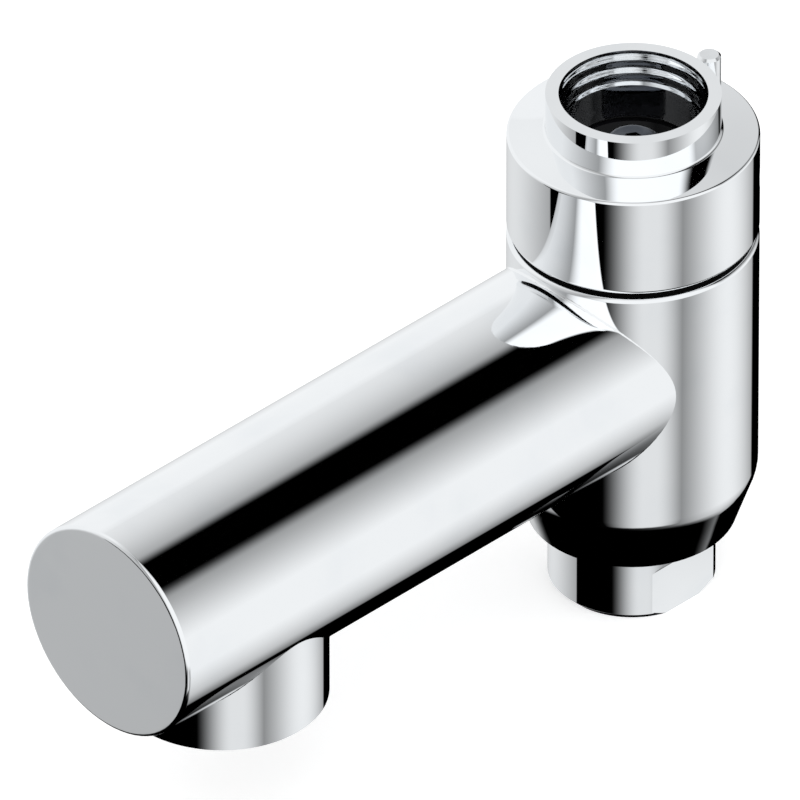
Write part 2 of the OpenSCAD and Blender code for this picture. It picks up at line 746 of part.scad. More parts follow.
module aerator_housing() color("silver") translate([0, -outlet_reach, 0]) {
    notch_w = 2.4;
    notch_h = 1.2;
    lip = 1.2;
    difference() {
        union() {
            ring(aerator_r - aerator_shell, aerator_r, z_aerator_bottom, z_aerator_top);
            ring(aerator_r - aerator_shell - lip, aerator_r, z_aerator_bottom, z_mesh);
        }
        intersection() {
            ring(insert_r - 0.2, aerator_r + over, z_aerator_bottom - over, z_aerator_bottom + notch_h);
            for (a = [0, 90, 180, 270])
                key(a, notch_w, aerator_r + over, z_aerator_bottom - over, z_aerator_bottom + notch_h);
        }
    }
}

module aerator_gasket() color("#303030") translate([0, -outlet_reach, 0]) {
    ring(outlet_bore_r + 0.1, aerator_r - 0.2, z_aerator_top, z_aerator_seat);
}

// Plastic cage with crossed ribs below and a barrel above that carries the flow regulator
module aerator_insert() color("whitesmoke") translate([0, -outlet_reach, 0]) {
    cage_wall = 1.2;
    rib_w = 0.8;
    ribs = 6;
    ring(barrel_r - cage_wall, barrel_r, z_aerator_top - over, z_insert_top);
    ring(barrel_r - cage_wall, insert_r, z_mesh + mesh_t, z_aerator_top - fit_gap);
    intersection() {
        rod(barrel_r - cage_wall / 2, z_mesh + mesh_t, z_insert_top);
        union() {
            for (i = [0:ribs - 1]) key(i * 360 / ribs, rib_w, barrel_r, z_mesh + mesh_t, z_aerator_top);
            rod(1.6, z_mesh + mesh_t, z_insert_top - 1);
        }
    }
}

module flow_regulator() color("darkseagreen") translate([0, -outlet_reach, 0]) {
    holes = 10;
    hole_d = 1.5;
    difference() {
        union() {
            rod(barrel_r, z_insert_top, z_insert_top + regulator_t / 2);
            translate([0, 0, z_insert_top + regulator_t / 2])
                cylinder(r1 = barrel_r - 0.6, r2 = barrel_r * 0.45, h = regulator_t / 2);
        }
        for (i = [0:holes - 1])
            rotate([0, 0, i * 360 / holes]) translate([barrel_r * 0.66, 0, 0])
                rod(hole_d / 2, z_insert_top - over, z_insert_top + regulator_t + over);
        rod(2.2, z_insert_top - over, z_insert_top + 1);
    }
}

module aerator_mesh() color("lightgray") translate([0, -outlet_reach, 0]) {
    frame_w = 1.4;
    bars = floor((insert_r - frame_w / 2) / mesh_pitch);
    ring(insert_r - frame_w, insert_r, z_mesh, z_mesh + mesh_t);
    intersection() {
        rod(insert_r - frame_w / 2, z_mesh, z_mesh + mesh_t);
        for (turn = [0, 90]) rotate([0, 0, turn])
            for (i = [-bars:bars])
                translate([-insert_r, i * mesh_pitch - mesh_wire / 2, z_mesh])
                    cube([2 * insert_r, mesh_wire, mesh_t]);
    }
}

inlet_collar();
locating_pin();
inlet_gasket();
fixed_disc();
centre_screw();
centre_nut();
retaining_ring();
stop_screw();
spout_body();
glide_ring();
swivel_seal();
rotating_disc();
port_seal();
flow_divider();
divider_seal_upper();
divider_seal_lower();
hose_connector();
connector_seal();
check_valve_housing();
check_valve_seal();
check_valve_spring();
check_poppet();
poppet_seal();
aerator_housing();
aerator_gasket();
flow_regulator();
aerator_insert();
aerator_mesh();
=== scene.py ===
import json
import math

import bmesh
import bpy
import numpy as np
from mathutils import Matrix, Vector

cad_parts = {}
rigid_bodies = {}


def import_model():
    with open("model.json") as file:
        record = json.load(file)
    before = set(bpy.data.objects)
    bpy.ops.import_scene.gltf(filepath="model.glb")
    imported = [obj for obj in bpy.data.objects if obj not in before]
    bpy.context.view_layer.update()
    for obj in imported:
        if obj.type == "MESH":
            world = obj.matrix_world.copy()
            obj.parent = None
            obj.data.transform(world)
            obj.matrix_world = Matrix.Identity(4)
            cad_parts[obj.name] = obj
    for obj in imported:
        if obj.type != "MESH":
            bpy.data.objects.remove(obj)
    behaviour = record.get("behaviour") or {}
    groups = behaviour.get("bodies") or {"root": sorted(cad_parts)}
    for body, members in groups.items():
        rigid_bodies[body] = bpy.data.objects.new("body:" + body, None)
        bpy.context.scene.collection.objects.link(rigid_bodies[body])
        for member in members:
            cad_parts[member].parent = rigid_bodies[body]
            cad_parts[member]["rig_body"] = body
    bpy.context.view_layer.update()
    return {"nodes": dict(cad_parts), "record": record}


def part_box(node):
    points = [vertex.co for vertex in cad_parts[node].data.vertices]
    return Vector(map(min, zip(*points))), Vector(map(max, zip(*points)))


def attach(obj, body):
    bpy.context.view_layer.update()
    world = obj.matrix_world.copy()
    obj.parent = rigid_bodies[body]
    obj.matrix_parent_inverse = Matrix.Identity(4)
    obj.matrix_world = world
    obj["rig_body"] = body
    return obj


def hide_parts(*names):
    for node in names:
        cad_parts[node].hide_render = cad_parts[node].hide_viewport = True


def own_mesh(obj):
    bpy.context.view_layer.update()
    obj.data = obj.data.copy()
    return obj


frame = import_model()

# Sizes in metres: boxes are read from the frame, the other sizes repeat the part's source
MM = 0.001
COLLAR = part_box("inlet_collar")
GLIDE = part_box("glide_ring")
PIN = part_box("locating_pin")
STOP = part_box("stop_screw")
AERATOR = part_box("aerator_housing")
Z_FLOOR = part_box("hose_connector")[0].z
BODY_R = 21.0 * MM
SPOUT_R = 19.0 * MM
OUTLET_R = 17.7 * MM
Z_SPOUT = -47.4 * MM
OUTLET_Y = (AERATOR[0].y + AERATOR[1].y) / 2
FILLET = 0.6 * MM

# A point this close to a size is taken to have that size
NEAR = 0.01 * MM


# Exact normals for turned faces and fillets

# The fillets start this far inside the pipes' walls
FILLET_SINK = 0.02 * MM
BEAD_STEPS = 2880
BEAD_TOLERANCE = 0.02 * MM

# Cosines: directions that agree better than this bend less than about 18, 26 or 37 degrees
SAME_CURVE = 0.95
SAME_SIDE = 0.9
SAME_FLAT = 0.8

# How far a face may be from the true turned shape, along its normal and round the axis
TURNED_SPREAD = 0.012 * MM
TURNED_SIDE = 0.07
SIDE_WEIGHT = 0.02
SQUARE_TO_AXIS = 0.004
CERTAINLY_TURNED = 0.003
NOT_TURNED = 9.0

WELD = 0.0005 * MM
NO_LENGTH = 0.0001 * MM


class Lathe:
    """An axis that turned faces are measured from."""

    def __init__(self, origin, axis):
        self.origin = np.array(origin, float)
        self.axis = np.array(axis, float)

    def split(self, points):
        """Distance from the axis, place along it and outward direction of each point."""
        rel = points - self.origin
        along = rel @ self.axis
        out = rel - along[:, None] * self.axis
        radius = np.linalg.norm(out, axis=1)
        return radius, along, out / np.maximum(radius, 1e-9)[:, None]


class Bead:
    """The path of the ball that rolls round the corner between a pipe and a smaller one that leaves it."""

    def __init__(self, r_small, r_big, origin, out, side):
        t = np.linspace(0, 2 * math.pi, BEAD_STEPS + 1)
        r_across, r_reach = r_small + FILLET - FILLET_SINK, r_big + FILLET - FILLET_SINK
        across = r_across * np.cos(t)
        reach = np.sqrt(r_reach * r_reach - across * across)
        out, side = np.array(out, float), np.array(side, float)
        third = np.cross(out, side)
        self.path = (np.array(origin, float) + across[:, None] * side + reach[:, None] * out
                     + (r_across * np.sin(t))[:, None] * third)

    def to_ball(self, points):
        """From each point to the nearest place of the ball's middle."""
        best = np.empty_like(points)
        for i, p in enumerate(points):
            k = int(((self.path - p) ** 2).sum(axis=1).argmin())
            a, b = self.path[max(k - 1, 0)], self.path[min(k + 1, len(self.path) - 1)]
            ab = b - a
            share = min(max(float((p - a) @ ab / (ab @ ab)), 0.0), 1.0)
            best[i] = a + share * ab - p
        return best


class Triangles:
    """The points of a mesh and its triangles, with their flat normals, sizes and middles."""

    def __init__(self, mesh):
        points = np.empty(len(mesh.vertices) * 3)
        mesh.vertices.foreach_get("co", points)
        self.points = points.reshape(-1, 3)
        corners = np.empty(len(mesh.polygons) * 3, int)
        mesh.polygons.foreach_get("vertices", corners)
        self.corners = corners.reshape(-1, 3)
        a, b, c = (self.points[self.corners[:, k]] for k in range(3))
        self.normal = np.cross(b - a, c - a)
        self.area = np.linalg.norm(self.normal, axis=1)
        self.normal /= np.maximum(self.area, 1e-20)[:, None]
        self.middle = (a + b + c) / 3


class TurnedFaces:
    """The lathe that turned each face (-1 for none), and the face's normal and length in its profile."""

    def __init__(self, solid, lathes):
        count = len(solid.corners)
        self.lathes = lathes
        self.owner = np.full(count, -1)
        self.fault = np.full(count, NOT_TURNED)
        self.profile = np.zeros((count, 2))
        self.length = np.zeros(count)
        self.outward = []
        for k, lathe in enumerate(lathes):
            self.try_lathe(solid, k, lathe)

    def try_lathe(self, solid, k, lathe):
        """Gives a lathe the faces that fit it better than the lathes before it."""
        radius, along, out = lathe.split(solid.points)
        self.outward.append(out)
        _, _, middle_out = lathe.split(solid.middle)
        n_along = solid.normal @ lathe.axis
        n_along[np.abs(n_along) < SQUARE_TO_AXIS] = 0
        n_out = (solid.normal * middle_out).sum(axis=1)
        side = np.sqrt(np.maximum(1 - n_along * n_along - n_out * n_out, 0))
        n_radius = np.sqrt(np.maximum(1 - n_along * n_along, 0)) * np.sign(n_out)
        r, s = radius[solid.corners], along[solid.corners]
        level = n_radius[:, None] * r + n_along[:, None] * s
        run = n_radius[:, None] * s - n_along[:, None] * r
        spread = level.max(axis=1) - level.min(axis=1)
        fault = spread / MM + side * SIDE_WEIGHT
        length = np.maximum(run.max(axis=1) - run.min(axis=1), 0.5 * np.sqrt(solid.area))
        fits = (side < TURNED_SIDE) & (spread < TURNED_SPREAD) & (fault < self.fault)
        self.owner[fits] = k
        self.fault[fits] = fault[fits]
        self.profile[fits] = np.stack([n_radius, n_along], axis=1)[fits]
        self.length[fits] = length[fits]

    def in_space(self, k, v, band):
        """A direction in lathe k's profile, turned to where point v lies."""
        return band[0] * self.outward[k][v] + band[1] * self.lathes[k].axis


def faces_on_beads(solid, turned, beads):
    """The bead that each face lies on (-1 for none), and each point's direction to each ball."""
    on_bead = np.full(len(solid.corners), -1)
    to_balls = []
    for k, bead in enumerate(beads):
        low, high = bead.path.min(axis=0) - 2 * FILLET, bead.path.max(axis=0) + 2 * FILLET
        near = ((solid.points > low) & (solid.points < high)).all(axis=1)
        to_ball = np.zeros_like(solid.points)
        to_ball[near] = bead.to_ball(solid.points[near])
        dist = np.linalg.norm(to_ball, axis=1)
        unit = to_ball / np.maximum(dist, 1e-9)[:, None]
        to_balls.append(unit)
        touches = near & (np.abs(dist - FILLET) < BEAD_TOLERANCE)
        faces_ball = (solid.normal * unit[solid.corners].sum(axis=1) / 3).sum(axis=1) > SAME_SIDE
        surely_turned = (turned.owner >= 0) & (turned.fault < CERTAINLY_TURNED)
        hit = touches[solid.corners].all(axis=1) & faces_ball & ~surely_turned
        on_bead[hit] = k
        turned.owner[hit] = -1
    return on_bead, to_balls


def faces_round_points(solid, turned):
    """For each point the turned bands that meet there, with their longest face, and its other faces."""
    bands = [{} for _ in solid.points]
    loose = [[] for _ in solid.points]
    for f, corners in enumerate(solid.corners):
        band, length = turned.profile[f], turned.length[f]
        key = (int(turned.owner[f]), round(band[0], 2), round(band[1], 2))
        for v in corners:
            if turned.owner[f] < 0:
                loose[v].append(f)
            elif key not in bands[v] or length > bands[v][key][1]:
                bands[v][key] = (band, length)
    return bands, loose


def polished_normals(mesh, lathes, beads):
    """Exact normals for every turned face and every fillet, one for each face corner."""
    solid = Triangles(mesh)
    turned = TurnedFaces(solid, lathes)
    on_bead, to_balls = faces_on_beads(solid, turned, beads)
    bands, loose = faces_round_points(solid, turned)

    def turned_normal(f, v):
        owner = turned.owner[f]
        total = np.zeros(2)
        for (k, _, _), (band, length) in bands[v].items():
            if k == owner and band @ turned.profile[f] > SAME_CURVE:
                total += band * max(length, 1e-7)
        return turned.in_space(owner, v, total / np.linalg.norm(total))

    def fillet_normal(f, v):
        normal = to_balls[on_bead[f]][v]
        for (k, _, _), (band, _) in bands[v].items():
            pipe = turned.in_space(k, v, band)
            if pipe @ normal > SAME_SIDE:
                normal = pipe
        return normal

    def loose_normal(f, v):
        alike = [g for g in loose[v] if solid.normal[g] @ solid.normal[f] > SAME_FLAT]
        total = solid.area[alike] @ solid.normal[alike]
        return total / np.linalg.norm(total)

    normals = []
    for f, corners in enumerate(solid.corners):
        if turned.owner[f] >= 0:
            normal_at = turned_normal
        elif on_bead[f] >= 0:
            normal_at = fillet_normal
        else:
            normal_at = loose_normal
        normals += [normal_at(f, v) for v in corners]
    return normals


def polished_copy(node, name, material, lathes, beads=(), change=None):
    """A copy of a CAD node that stands for it and mirrors cleanly, because its normals are exact."""
    source = frame["nodes"][node]
    mesh = source.data.copy()
    mesh.name = name
    bm = bmesh.new()
    bm.from_mesh(mesh)
    bmesh.ops.remove_doubles(bm, verts=bm.verts, dist=WELD)
    bmesh.ops.dissolve_degenerate(bm, edges=bm.edges, dist=NO_LENGTH)
    bmesh.ops.triangulate(bm, faces=[f for f in bm.faces if len(f.verts) > 3])
    if change:
        change(bm)
    bm.to_mesh(mesh)
    bm.free()
    mesh.polygons.foreach_set("use_smooth", [True] * len(mesh.polygons))
    mesh.normals_split_custom_set(polished_normals(mesh, lathes, beads))
    mesh.materials.clear()
    mesh.materials.append(material)
    piece = bpy.data.objects.new(name, mesh)
    bpy.context.scene.collection.objects.link(piece)
    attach(piece, source["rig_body"])
    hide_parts(node)
    return piece


# Nodes that the materials and the world are made of

def connect(tree, value, socket):
    """Gives a socket a number, or the output of another node."""
    if isinstance(value, (int, float)):
        socket.default_value = value
    else:
        tree.links.new(value, socket)


def math_node(tree, operation, *values, clamp=False):
    node = tree.nodes.new("ShaderNodeMath")
    node.operation = operation
    node.use_clamp = clamp
    for socket, value in zip(node.inputs, values):
        connect(tree, value, socket)
    return node.outputs[0]


def remap(tree, value, low, high, to_low=0.0, to_high=1.0, smooth=False):
    node = tree.nodes.new("ShaderNodeMapRange")
    node.interpolation_type = "SMOOTHSTEP" if smooth else "LINEAR"
    node.clamp = True
    settings = {"Value": value, "From Min": low, "From Max": high, "To Min": to_low, "To Max": to_high}
    for label, setting in settings.items():
        connect(tree, setting, node.inputs[label])
    return node.outputs["Result"]


def noise(tree, vector, scale, detail):
    node = tree.nodes.new("ShaderNodeTexNoise")
    node.inputs["Detail"].default_value = detail
    tree.links.new(vector, node.inputs["Vector"])
    tree.links.new(scale, node.inputs["Scale"])
    return node.outputs["Fac"]


def mixed_colour(tree, fac, at_zero, at_one):
    node = tree.nodes.new("ShaderNodeMix")
    node.data_type = "RGBA"
    tree.links.new(fac, node.inputs["Factor"])
    node.inputs[6].default_value = (*at_zero, 1)
    node.inputs[7].default_value = (*at_one, 1)
    return node.outputs[2]


def mixed_shader(tree, fac, at_zero, at_one, target):
    """Sends one of two shaders to a socket: the first where fac is 0, the second where it is 1."""
    node = tree.nodes.new("ShaderNodeMixShader")
    for socket, value in zip(node.inputs, (fac, at_zero.outputs[0], at_one.outputs[0])):
        tree.links.new(value, socket)
    tree.links.new(node.outputs[0], target)


def bump(tree, shader, height, strength, distance):
    node = tree.nodes.new("ShaderNodeBump")
    node.inputs["Strength"].default_value = strength
    node.inputs["Distance"].default_value = distance
    tree.links.new(height, node.inputs["Height"])
    tree.links.new(node.outputs["Normal"], shader.inputs["Normal"])


def node_group(name, scales, results):
    """A shader node group with a vector and scales as inputs and masks as results, still empty."""
    group = bpy.data.node_groups.new(name, "ShaderNodeTree")
    group.interface.new_socket(name="Vector", in_out="INPUT", socket_type="NodeSocketVector")
    for label, value in scales.items():
        socket = group.interface.new_socket(name=label, in_out="INPUT", socket_type="NodeSocketFloat")
        socket.default_value = value
    for label in results:
        group.interface.new_socket(name=label, in_out="OUTPUT", socket_type="NodeSocketFloat")
    return group, group.nodes.new("NodeGroupInput").outputs, group.nodes.new("NodeGroupOutput").inputs


def handled_film_group():
    """Faint smudges and hairlines of a part that has been wiped."""
    group, given, results = node_group(
        "handled_film", {"Smudge Scale": 70.0, "Hairline Scale": 900.0}, ["Smudge", "Hairline"])
    wide = noise(group, given["Vector"], given["Smudge Scale"], detail=4.0)
    group.links.new(remap(group, wide, low=0.45, high=0.75, smooth=True), results["Smudge"])
    stretch = group.nodes.new("ShaderNodeMapping")
    stretch.inputs["Rotation"].default_value = (0.3, 0.5, 0.2)
    stretch.inputs["Scale"].default_value = (1.0, 1.0, 0.06)
    group.links.new(given["Vector"], stretch.inputs["Vector"])
    fine = noise(group, stretch.outputs["Vector"], given["Hairline Scale"], detail=2.0)
    group.links.new(remap(group, fine, low=0.62, high=0.78), results["Hairline"])
    return group


def moulded_grain_group():
    """Fine matt grain and slow tone change of a moulded part."""
    group, given, results = node_group(
        "moulded_grain", {"Grain Scale": 2500.0, "Tone Scale": 150.0}, ["Grain", "Tone"])
    group.links.new(noise(group, given["Vector"], given["Grain Scale"], detail=2.0), results["Grain"])
    group.links.new(noise(group, given["Vector"], given["Tone Scale"], detail=3.0), results["Tone"])
    return group


# Materials

HANDLED_FILM = handled_film_group()
MOULDED_GRAIN = moulded_grain_group()
HAIRLINE_SHARE = 0.7


def material_with_group(name, group):
    """A new material, its node tree, its main shader and the group laid on the object's own space."""
    material = bpy.data.materials.new(name)
    material.use_nodes = True
    tree = material.node_tree
    place = tree.nodes.new("ShaderNodeTexCoord").outputs["Object"]
    effect = tree.nodes.new("ShaderNodeGroup")
    effect.node_tree = group
    tree.links.new(place, effect.inputs["Vector"])
    return material, tree, tree.nodes["Principled BSDF"], effect


def plated_metal(name, dark, light, rough, film, smudge_scale=70.0, hairline_depth=0):
    """Polished metal: its tone, its haze where it was handled, and its hairlines."""
    material, tree, shader, wiped = material_with_group(name, HANDLED_FILM)
    smudge, hairline = wiped.outputs["Smudge"], wiped.outputs["Hairline"]
    wiped.inputs["Smudge Scale"].default_value = smudge_scale
    shader.inputs["Metallic"].default_value = 1.0
    tree.links.new(mixed_colour(tree, smudge, light, dark), shader.inputs["Base Color"])
    haze = math_node(tree, "MULTIPLY_ADD", smudge, film, rough)
    haze = math_node(tree, "MULTIPLY_ADD", hairline, film * HAIRLINE_SHARE, haze)
    tree.links.new(haze, shader.inputs["Roughness"])
    if hairline_depth:
        bump(tree, shader, hairline, strength=0.15, distance=hairline_depth)
    return material


def moulded(name, dark, light, rough, rough_range, grain_scale, grain_depth, mirror=0.5):
    """Plastic, rubber or ceramic: grain as a bump, tone and gloss that change slowly."""
    material, tree, shader, effect = material_with_group(name, MOULDED_GRAIN)
    effect.inputs["Grain Scale"].default_value = grain_scale
    tone = remap(tree, effect.outputs["Tone"], low=0.3, high=0.7)
    tree.links.new(mixed_colour(tree, tone, dark, light), shader.inputs["Base Color"])
    gloss = math_node(tree, "MULTIPLY_ADD", effect.outputs["Grain"], rough_range, rough)
    tree.links.new(gloss, shader.inputs["Roughness"])
    shader.inputs["Specular IOR Level"].default_value = mirror
    bump(tree, shader, effect.outputs["Grain"], strength=0.4, distance=grain_depth)
    return material


CHROME = plated_metal(
    "polished_chrome", dark=(0.84, 0.855, 0.87), light=(0.875, 0.885, 0.895), rough=0.018, film=0.012)
BRIGHT_STEEL = plated_metal(
    "polished_steel", dark=(0.74, 0.75, 0.76), light=(0.82, 0.83, 0.84), rough=0.03, film=0.03,
    smudge_scale=220.0)
STEEL = plated_metal(
    "bright_steel", dark=(0.60, 0.61, 0.62), light=(0.74, 0.75, 0.76), rough=0.14, film=0.12,
    smudge_scale=400.0, hairline_depth=0.01 * MM)
DARK_STEEL = plated_metal(
    "blackened_steel", dark=(0.04, 0.045, 0.055), light=(0.07, 0.075, 0.085), rough=0.05, film=0.04,
    smudge_scale=220.0)
RUBBER = moulded(
    "seal_rubber", dark=(0.018, 0.018, 0.018), light=(0.035, 0.035, 0.036), rough=0.55, rough_range=0.3,
    grain_scale=4000.0, grain_depth=0.02 * MM)
CERAMIC = moulded(
    "lapped_ceramic", dark=(0.002, 0.002, 0.002), light=(0.004, 0.004, 0.005), rough=0.05, rough_range=0.05,
    grain_scale=9000.0, grain_depth=0.0004 * MM, mirror=0.03)
# Black plastic pushed to near pure black with almost no mirror: painted shade that stands in for the shade
# in the recess at the seam
SHADE_BLACK_PLASTIC = moulded(
    "shade_black_glide", dark=(0.001, 0.001, 0.001), light=(0.002, 0.002, 0.002), rough=0.5, rough_range=0.1,
    grain_scale=3000.0, grain_depth=0.001 * MM, mirror=0.02)
WHITE_PLASTIC = moulded(
    "valve_plastic", dark=(0.80, 0.79, 0.74), light=(0.86, 0.85, 0.81), rough=0.35, rough_range=0.2,
    grain_scale=2500.0, grain_depth=0.01 * MM)
GREEN_PLASTIC = moulded(
    "regulator_plastic", dark=(0.27, 0.49, 0.32), light=(0.34, 0.57, 0.4), rough=0.32, rough_range=0.2,
    grain_scale=2500.0, grain_depth=0.01 * MM)
BY_SLOT = {"chrome": CHROME, "steel": STEEL, "rubber": RUBBER, "ceramic": CERAMIC,
           "black_plastic": SHADE_BLACK_PLASTIC, "white_plastic": WHITE_PLASTIC, "green_plastic": GREEN_PLASTIC}


def dress_kept_nodes():
    """Gives every CAD node the material of its slot in the record."""
    for row in frame["record"]["subparts"]:
        node = frame["nodes"][row["node"]]
        material = BY_SLOT[row["material_slot"]]
        if not node.material_slots:
            node.data.materials.append(material)
        for held in node.material_slots:
            held.link = "OBJECT"
            held.material = material


dress_kept_nodes()


# Walls that are taken out and closed again with finer ones

LEVEL = 0.5


def radius_of(v):
    return math.hypot(v.co.x, v.co.y)


def open_wall(bm, on_wall, parting_z, keep_level=False):
    """Takes a wall's faces out, and gives the rims of the hole above and below a height."""
    wall = [f for f in bm.faces if all(on_wall(v) for v in f.verts)
            and not (keep_level and abs(f.normal.z) > LEVEL)]
    bmesh.ops.delete(bm, geom=wall, context="FACES")
    rims = [e for e in bm.edges if e.is_boundary and all(on_wall(v) for v in e.verts)]
    upper = [e for e in rims if e.verts[0].co.z > parting_z]
    lower = [e for e in rims if e.verts[0].co.z < parting_z]
    return upper, lower


def ring_of_points(bm, height, radii):
    """Points round the z axis at one height, each at its own radius."""
    ring = []
    for i, r in enumerate(radii):
        angle = 2 * math.pi * i / len(radii)
        ring.append(bm.verts.new((r * math.cos(angle), r * math.sin(angle), height)))
    return ring


def close_wall(bm, rings, first_rim, last_rim):
    """Faces from ring to ring, bridged to the open rims at both ends."""
    columns = len(rings[0])
    made = []
    for low, high in zip(rings, rings[1:]):
        for i in range(columns):
            k = (i + 1) % columns
            made.append(bm.faces.new((low[i], high[i], high[k], low[k])))
    for rim, ring in ((first_rim, rings[0]), (last_rim, rings[-1])):
        edges = [bm.edges.get((ring[i], ring[(i + 1) % columns])) for i in range(columns)]
        made += bmesh.ops.bridge_loops(bm, edges=rim + edges)["faces"]
    bmesh.ops.triangulate(bm, faces=made)
    bmesh.ops.recalc_face_normals(bm, faces=bm.faces)


# Hose connector: its wrench flats, its foot and the G 1/2 thread of its socket

CONNECTOR_R = 14.0 * MM
FLAT_X = 12.0 * MM
FLAT_TOP = Z_FLOOR + 9.4 * MM
FLAT_RISE = 1.7
FOOT_CHAMFER = 1.7 * MM
FOOT_CHAMFER_SEEN = 1.45 * MM

THREAD_PITCH = 1.814 * MM
THREAD_DEPTH = 1.16 * MM
THREAD_COLUMNS = 96
ROWS_PER_PITCH = 12
RUN_OUT_TURNS = 1.4
SOCKET_R = 9.32 * MM
SOCKET_DEPTH = 10.0 * MM
MOUTH_WIDEN = 1.0 * MM


def shape_connector(bm):
    """Slopes the upper end of each wrench flat, shortens the foot's chamfer and cuts the thread."""
    for v in bm.verts:
        past_flat = abs(v.co.x) - FLAT_X
        on_rim = abs(radius_of(v) - CONNECTOR_R) < NEAR
        if abs(v.co.z - FLAT_TOP) < NEAR and past_flat > -NEAR:
            v.co.z += past_flat * FLAT_RISE
        elif on_rim and abs(v.co.z - Z_FLOOR - FOOT_CHAMFER) < NEAR:
            v.co.z = Z_FLOOR + FOOT_CHAMFER_SEEN
    cut_socket_thread(bm)


def cut_socket_thread(bm):
    """Cuts the thread and its countersunk mouth into the smooth wall of the hose socket."""
    def on_wall(v):
        return abs(radius_of(v) - SOCKET_R) < 2 * NEAR and v.co.z < Z_FLOOR + SOCKET_DEPTH + NEAR

    inner, mouth = open_wall(bm, on_wall, Z_FLOOR + SOCKET_DEPTH / 2, keep_level=True)
    for v in {v for e in mouth for v in e.verts}:
        v.co.xy *= (SOCKET_R + MOUTH_WIDEN) / SOCKET_R
    rows = int(SOCKET_DEPTH / THREAD_PITCH * ROWS_PER_PITCH)
    rings = []
    for j in range(1, rows):
        above = SOCKET_DEPTH * j / rows
        depth = THREAD_DEPTH * min(1.0, (rows - 1 - j) / (RUN_OUT_TURNS * ROWS_PER_PITCH))
        radii = []
        for i in range(THREAD_COLUMNS):
            wave = 0.5 - 0.5 * math.cos(2 * math.pi * (above / THREAD_PITCH - i / THREAD_COLUMNS))
            radii.append(SOCKET_R + max(depth * wave, MOUTH_WIDEN - above))
        rings.append(ring_of_points(bm, Z_FLOOR + above, radii))
    close_wall(bm, rings, mouth, inner)


# Collar: its neck's bore, flared and with soft rings above a plain wall, and its chamfer at the seam

NECK_BORE_R = 12.4 * MM
PORT_R = 10.8 * MM
Z_BORE_FLOOR = -12.1 * MM
Z_BELOW_RIM = -1.0 * MM
FLARE = 0.15
RING_HEIGHT = 0.06 * MM
RING_PITCH = 2.42 * MM
RING_STEP = 0.1 * MM
RINGS_END = 6.5 * MM
BORE_COLUMNS = 180
PLAIN_WALL_SHARES = (0.2, 0.4, 0.6, 0.8, 0.99)
CHAMFER_TALL = 0.6 * MM
CHAMFER_DEEP = 0.4 * MM
CHAMFER_SOFT = 0.2 * MM


def shape_collar(bm):
    """Turns the steps of the neck's bore into soft rings, and shapes the chamfer at the seam."""
    def in_bore(v):
        return PORT_R - 2 * NEAR < radius_of(v) < NECK_BORE_R + 2 * NEAR and v.co.z > Z_BORE_FLOOR - NEAR

    top, bottom = open_wall(bm, in_bore, Z_BELOW_RIM)
    profile = []
    for depth in np.arange(RING_STEP, RINGS_END, RING_STEP):
        ripple = RING_HEIGHT * math.sin(2 * math.pi * depth / RING_PITCH)
        profile.append((NECK_BORE_R - FLARE * depth + ripple, -depth))
    last_r, last_z = profile[-1]
    for share in PLAIN_WALL_SHARES:
        profile.append((last_r + (PORT_R - last_r) * share, last_z + (Z_BORE_FLOOR - last_z) * share))
    rings = [ring_of_points(bm, z, [r] * BORE_COLUMNS) for r, z in profile]
    close_wall(bm, rings, top, bottom)
    shape_seam_chamfer(bm)


def shape_seam_chamfer(bm):
    """Makes the chamfer of the collar's lower edge taller and rounds both its ends."""
    for v in bm.verts:
        if radius_of(v) > BODY_R - NEAR and 0 < v.co.z - COLLAR[0].z < CHAMFER_TALL - NEAR:
            v.co.z = COLLAR[0].z + CHAMFER_TALL

    def on_end(v):
        up, inward = v.co.z - COLLAR[0].z, BODY_R - radius_of(v)
        upper_end = inward < NEAR and abs(up - CHAMFER_TALL) < NEAR
        lower_end = abs(inward - CHAMFER_DEEP) < NEAR and up < NEAR
        return upper_end or lower_end

    ends = [e for e in bm.edges if all(on_end(v) for v in e.verts)
            and abs(e.verts[0].co.z - e.verts[1].co.z) < NEAR]
    bmesh.ops.bevel(bm, geom=ends, offset=CHAMFER_SOFT, segments=3, profile=0.5, affect="EDGES",
                    material=-1)
    bmesh.ops.triangulate(bm, faces=[f for f in bm.faces if len(f.verts) > 3])


# Lip under the seam, and the glide ring that lies against it

EDGE_ROUND = 0.5 * MM
LIP_ROUND = 0.75 * MM
ON_ROUND = 0.002 * MM
GLIDE_EDGE = 0.05 * MM


def raise_lip(bm):
    """Grows the rounded edge under the seam up into a low lip, from the same start on the wall."""
    top = GLIDE[0].z
    for v in bm.verts:
        r = radius_of(v)
        outward, up = r - BODY_R + EDGE_ROUND, v.co.z - top + EDGE_ROUND
        if abs(math.hypot(outward, up) - EDGE_ROUND) < ON_ROUND and min(outward, up) > -ON_ROUND:
            v.co.xy *= (BODY_R - LIP_ROUND + outward * LIP_ROUND / EDGE_ROUND) / r
            v.co.z = top - EDGE_ROUND + up * LIP_ROUND / EDGE_ROUND


def fit_glide_ring(bm):
    """Lifts the ring's outer bottom edge with the lip that it lies against."""
    for v in bm.verts:
        if radius_of(v) > GLIDE[1].x - GLIDE_EDGE and v.co.z < GLIDE[0].z + NEAR:
            v.co.z = GLIDE[0].z + LIP_ROUND - EDGE_ROUND


# Pieces

